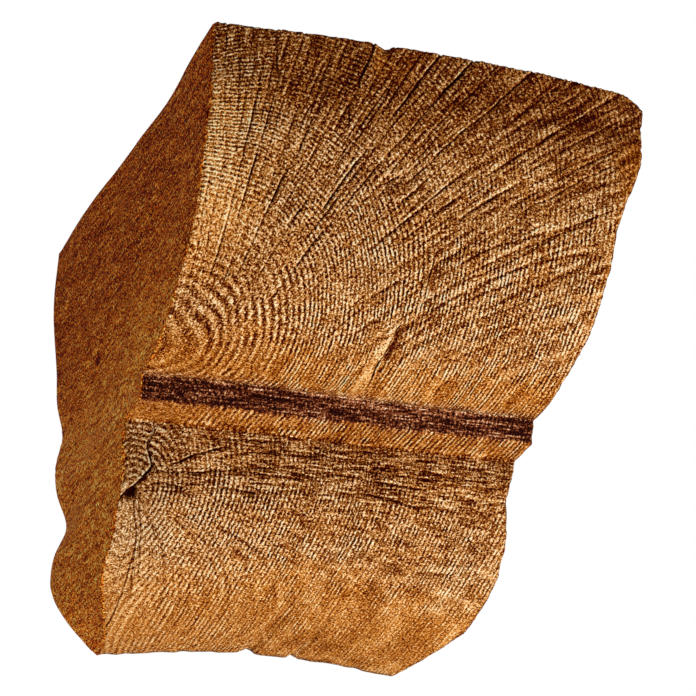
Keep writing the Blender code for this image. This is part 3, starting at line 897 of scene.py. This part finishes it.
    rough = total(0.0, centred(speck, -0.5), n.fit(band, 0.0, 1.0, 0.80, 0.62))
    n.put(n.shader.inputs["Roughness"], rough)
    n.shader.inputs["Specular IOR Level"].default_value = 0.05
    n.shader.inputs["Metallic"].default_value = 0.0

    end_b = total(n.math("MULTIPLY", lines, 0.8), centred(rays, 0.45), centred(speck, 0.9), centred(grit, 0.4),
                  n.math("MULTIPLY", check_painted_shade, -0.8), n.math("MULTIPLY", check_painted_highlight, 0.2),
                  n.math("MULTIPLY", faint_painted_shade, -0.3))
    height = n.tree.nodes.new("ShaderNodeMix")
    height.data_type = "FLOAT"
    n.put(height.inputs[0], end)
    n.put(height.inputs[2], long_h)
    n.put(height.inputs[3], end_b)
    bump = n.tree.nodes.new("ShaderNodeBump")
    bump.inputs["Strength"].default_value = 0.85
    bump.inputs["Distance"].default_value = 0.0011
    n.put(bump.inputs["Height"], height.outputs[0])
    n.put(n.shader.inputs["Normal"], bump.outputs["Normal"])
    return n.mat


# ------------------------------------------------------------------ the piece
corbel = build_corbel()
corbel.data.materials.clear()
corbel.data.materials.append(wood_material())
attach(corbel, "root")
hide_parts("corbel")


# -------------------------------------------------------------------- studio
def plain(name, colour, rough):
    mat = bpy.data.materials.new(name)
    mat.use_nodes = True
    s = mat.node_tree.nodes["Principled BSDF"]
    s.inputs["Base Color"].default_value = (*colour, 1.0)
    s.inputs["Roughness"].default_value = rough
    return mat


floor_mesh = bpy.data.meshes.new("floor")
FLOOR_Z = -1.60
floor_mesh.from_pydata([(-6, -6, FLOOR_Z), (6, -6, FLOOR_Z), (6, 6, FLOOR_Z), (-6, 6, FLOOR_Z)], [], [(0, 1, 2, 3)])
floor_mesh.materials.append(plain("floor_pale", (0.86, 0.86, 0.86), 0.9))
floor = bpy.data.objects.new("floor", floor_mesh)
bpy.context.scene.collection.objects.link(floor)


def area(name, at, size, power, colour=(1.0, 1.0, 1.0), aim=(0.0, -0.12, 0.0)):
    light = bpy.data.lights.new(name, "AREA")
    light.shape = "DISK"
    light.size = size
    light.energy = power
    light.color = colour
    obj = bpy.data.objects.new(name, light)
    obj.location = at
    obj.rotation_euler = (Vector(aim) - Vector(at)).to_track_quat("-Z", "Y").to_euler()
    obj.visible_camera = False
    bpy.context.scene.collection.objects.link(obj)
    return obj


area("key", (0.60, -1.00, -1.30), 0.28, 25.0, (1.0, 0.985, 0.96))
area("left", (-1.8, 0.10, -0.35), 0.9, 9.0)
area("over", (0.3, -0.7, 1.7), 1.2, 5.0)
area("behind", (0.5, 1.7, 0.5), 1.2, 13.0)

world = bpy.data.worlds.new("studio")
bpy.context.scene.world = world
world.use_nodes = True
wt = world.node_tree
bg = wt.nodes["Background"]
bg.inputs["Color"].default_value = (1.0, 1.0, 1.0, 1.0)
bg.inputs["Strength"].default_value = 0.30
seen = wt.nodes.new("ShaderNodeBackground")
seen.inputs["Color"].default_value = (1.0, 1.0, 1.0, 1.0)
seen.inputs["Strength"].default_value = 1.0
path = wt.nodes.new("ShaderNodeLightPath")
join = wt.nodes.new("ShaderNodeMixShader")
wt.links.new(path.outputs["Is Camera Ray"], join.inputs[0])
wt.links.new(bg.outputs[0], join.inputs[1])
wt.links.new(seen.outputs[0], join.inputs[2])
wt.links.new(join.outputs[0], wt.nodes["World Output"].inputs["Surface"])

scene = bpy.context.scene
scene.view_settings.view_transform = "Standard"
scene.view_settings.look = "None"
scene.view_settings.exposure = 0.0
scene.view_settings.gamma = 1.0

# -------------------------------------------------------------------- camera
# Turn, tilt and roll of the view, and its place in mm from the top left rear
# corner of the block; the picture is 696 by 696.
TURN, TILT, ROLL = 0.37851, 0.37438, -0.01666
EYE = (-249.21, -1040.20, -473.39)
FOCAL_PX, PICTURE = 2150.0, 696.0
fw = Vector((math.sin(TURN) * math.cos(TILT), math.cos(TURN) * math.cos(TILT), math.sin(TILT)))
rt = Vector((math.cos(TURN), -math.sin(TURN), 0.0))
up = rt.cross(fw)
rt, up = (math.cos(ROLL) * rt + math.sin(ROLL) * up), (-math.sin(ROLL) * rt + math.cos(ROLL) * up)
cam_data = bpy.data.cameras.new("camera")
cam_data.sensor_width = 36.0
cam_data.sensor_fit = "HORIZONTAL"
cam_data.lens = FOCAL_PX * 36.0 / PICTURE
cam_data.clip_start = 0.01
cam_data.clip_end = 50.0
cam = bpy.data.objects.new("camera", cam_data)
cam.matrix_world = Matrix((
    (rt.x, up.x, -fw.x, (EYE[0] - WIDTH / 2) * MM),
    (rt.y, up.y, -fw.y, EYE[1] * MM),
    (rt.z, up.z, -fw.z, (EYE[2] + TOP) * MM),
    (0.0, 0.0, 0.0, 1.0)))
scene.collection.objects.link(cam)
scene.camera = cam
